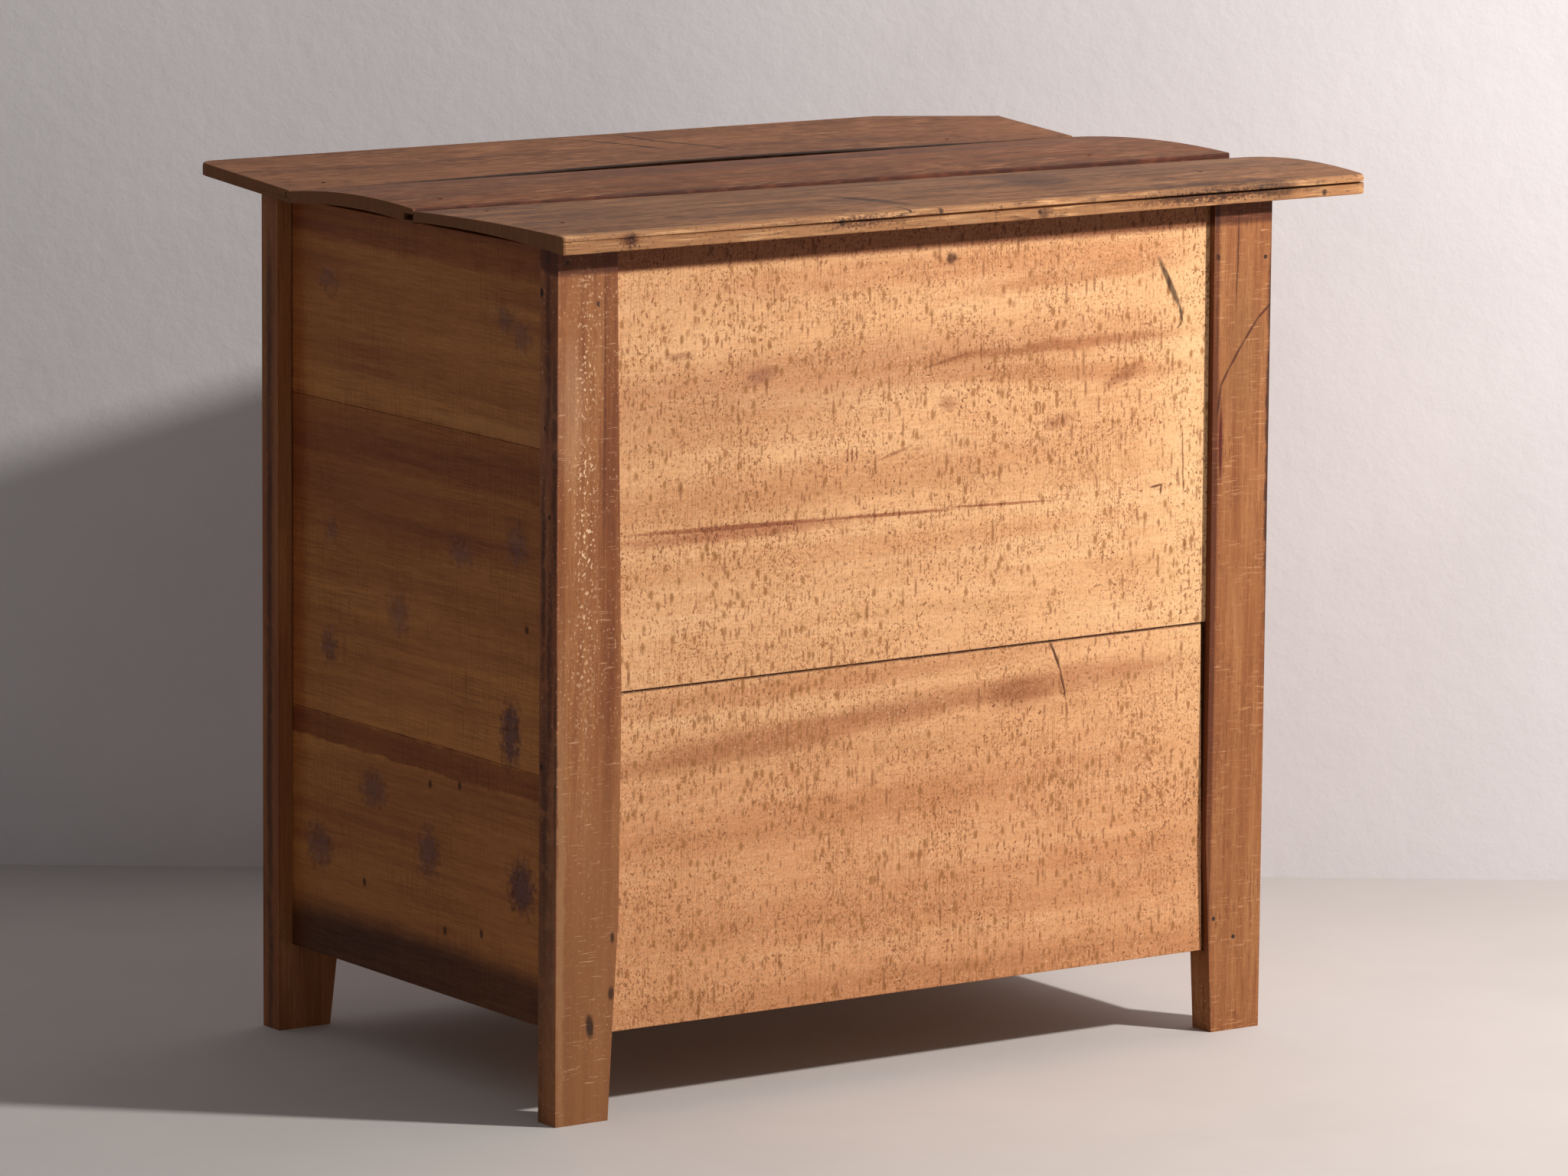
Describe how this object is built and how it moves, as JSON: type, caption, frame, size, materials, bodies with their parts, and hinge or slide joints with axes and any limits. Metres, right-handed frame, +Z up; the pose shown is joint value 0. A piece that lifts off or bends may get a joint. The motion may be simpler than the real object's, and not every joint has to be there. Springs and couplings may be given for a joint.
{
  "type": "low cabinet",
  "caption": "Low cabinet of framed posts and grooved boards, with a loose cupped board top, framed panel doors, a rim lock with its key and a shoot bolt.",
  "frame": {"origin": "on the floor, below the centre of the whole box, which the uneven overhangs of the top put off the centre of the posts", "axes": "+Z up, -Y towards the doors, +X to the right as seen from the front"},
  "size_m": [0.919, 0.6406, 0.8237],
  "materials": {
    "post_beech": "planed beech, oiled and dusty, satin",
    "side_beech": "planed beech boards, saw marks and old stains, satin",
    "back_beech": "rough-sawn beech, matt",
    "top_beech": "planed beech, worn and greyed, satin",
    "inner_beech": "sawn beech, matt",
    "door_beech": "planed beech, oiled, satin",
    "peg_beech": "split pegs, end grain",
    "knob_beech": "turned and handled, smooth",
    "nail_iron": "drawn wire nails, rusted",
    "hinge_iron": "rolled iron, dulled",
    "lock_iron": "pressed and forged iron, dulled",
    "lock_brass": "cast brass, dulled"
  },
  "bodies": {
    "case": {"post_front_left": "post_beech", "post_front_right": "post_beech", "post_back_left": "post_beech", "post_back_right": "post_beech", "side_left_lower": "side_beech", "side_left_middle": "side_beech", "side_left_upper": "side_beech", "side_right_lower": "side_beech", "side_right_middle": "side_beech", "side_right_upper": "side_beech", "back_board_lower": "back_beech", "back_board_upper": "back_beech", "top_board_front": "top_beech", "top_board_middle": "top_beech", "top_board_back": "top_beech", "top_nails": "nail_iron", "front_rail_top": "post_beech", "front_rail_bottom": "post_beech", "frame_pegs": "peg_beech", "post_nails": "nail_iron", "top_cleat_left": "inner_beech", "top_cleat_right": "inner_beech", "floor_cleat_left": "inner_beech", "floor_cleat_right": "inner_beech", "shelf_cleat_left": "inner_beech", "shelf_cleat_right": "inner_beech", "floor_board_front": "inner_beech", "floor_board_middle": "inner_beech", "floor_board_back": "inner_beech", "shelf_board_front": "inner_beech", "shelf_board_back": "inner_beech", "hinge_frame_leaves_left": "hinge_iron", "hinge_frame_leaves_right": "hinge_iron", "hinge_pins": "hinge_iron", "hinge_frame_screws": "hinge_iron"},
    "door_left": {"door_left_hinge_stile": "door_beech", "door_left_lock_stile": "door_beech", "door_left_top_rail": "door_beech", "door_left_bottom_rail": "door_beech", "door_left_panel": "door_beech", "door_left_pegs": "peg_beech", "door_left_knob": "knob_beech", "hinge_door_leaves_left": "hinge_iron", "hinge_door_screws_left": "hinge_iron", "shoot_bolt_plate": "lock_iron"},
    "door_right": {"door_right_hinge_stile": "door_beech", "door_right_lock_stile": "door_beech", "door_right_top_rail": "door_beech", "door_right_bottom_rail": "door_beech", "door_right_panel": "door_beech", "door_right_pegs": "peg_beech", "door_right_knob": "knob_beech", "hinge_door_leaves_right": "hinge_iron", "hinge_door_screws_right": "hinge_iron", "lock_case": "lock_iron", "lock_escutcheon": "lock_brass"},
    "lock_key": {"lock_key": "lock_iron"},
    "lock_bolt": {"lock_bolt": "lock_brass"},
    "shoot_bolt": {"shoot_bolt": "lock_iron"}
  },
  "joints": [
    {"name": "door_left_swing", "type": "hinge", "parent": "case", "child": "door_left", "pos_m": [-0.288, -0.22155, 0.235], "axis": [0, 0, -1], "range_deg": [0, 120]},
    {"name": "door_right_swing", "type": "hinge", "parent": "case", "child": "door_right", "pos_m": [0.381, -0.22155, 0.235], "axis": [0, 0, 1], "range_deg": [0, 120]},
    {"name": "key_turn", "type": "hinge", "parent": "door_right", "child": "lock_key", "pos_m": [0.0765, -0.21775, 0.43], "axis": [0, -1, 0], "range_deg": [0, 350]},
    {"name": "lock_bolt_slide", "type": "slide", "parent": "door_right", "child": "lock_bolt", "axis": [-1, 0, 0], "range_m": [0, 0.01]},
    {"name": "shoot_bolt_slide", "type": "slide", "parent": "door_left", "child": "shoot_bolt", "axis": [0, 0, 1], "range_m": [0, 0.016]}
  ],
  "couplings": [
    {"joint": "key_turn", "follows": "lock_bolt_slide", "rad_per_m": 610.87}
  ]
}
